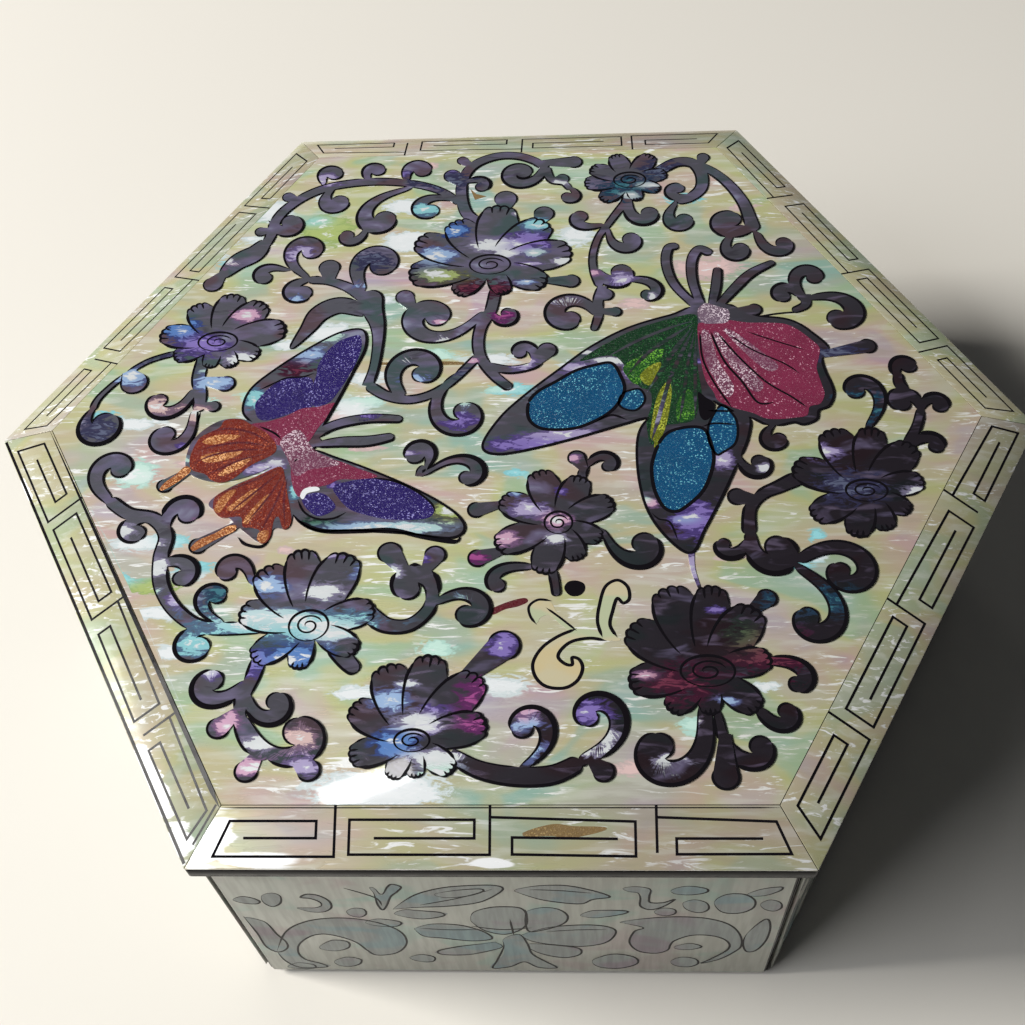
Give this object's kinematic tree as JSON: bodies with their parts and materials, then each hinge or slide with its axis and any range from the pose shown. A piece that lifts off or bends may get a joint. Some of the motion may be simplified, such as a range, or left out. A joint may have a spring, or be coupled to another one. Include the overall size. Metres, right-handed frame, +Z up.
{
  "type": "shell box",
  "caption": "Hexagonal lidded box of black lacquered wood covered with mother-of-pearl, with flowers, vines and butterflies on its lift-off lid, for keeping small things.",
  "frame": {"origin": "middle of the underside, at the surface the box stands on", "axes": "+Z up, the box's shortest way; +X towards a corner, the longest way; -Y towards the front side"},
  "size_m": [0.15, 0.13, 0.05],
  "materials": {
    "lacquer": "gloss black lacquer on wood",
    "pale_shell": "pale cream and green mother-of-pearl under clear lacquer",
    "grey_shell": "grey silver mother-of-pearl under clear lacquer",
    "dark_shell": "dark violet and blue iridescent shell under clear lacquer",
    "painted_shell": "dark iridescent shell with glitter paint in blue, green, orange and rose"
  },
  "bodies": {
    "root": {"floor_board": "lacquer", "wall_back_right": "lacquer", "wall_back": "lacquer", "wall_back_left": "lacquer", "wall_front_left": "lacquer", "wall_front": "lacquer", "wall_front_right": "lacquer", "side_panel_back_right": "grey_shell", "side_panel_back": "grey_shell", "side_panel_back_left": "grey_shell", "side_panel_front_left": "grey_shell", "side_panel_front": "grey_shell", "side_panel_front_right": "grey_shell", "lid_board": "lacquer", "locating_strip_back_right": "lacquer", "locating_strip_back": "lacquer", "locating_strip_back_left": "lacquer", "locating_strip_front_left": "lacquer", "locating_strip_front": "lacquer", "locating_strip_front_right": "lacquer", "field_sheet": "pale_shell", "border_strip_back_right": "pale_shell", "border_strip_back": "pale_shell", "border_strip_back_left": "pale_shell", "border_strip_front_left": "pale_shell", "border_strip_front": "pale_shell", "border_strip_front_right": "pale_shell", "flower_spray_back": "dark_shell", "flower_spray_back_right": "dark_shell", "flower_spray_left": "dark_shell", "flower_spray_right": "dark_shell", "flower_spray_middle": "dark_shell", "flower_spray_front_left": "dark_shell", "flower_spray_front": "dark_shell", "flower_spray_front_right": "dark_shell", "vine_right": "dark_shell", "vine_middle": "dark_shell", "butterfly_left": "painted_shell", "butterfly_right": "painted_shell"}
  },
  "joints": []
}
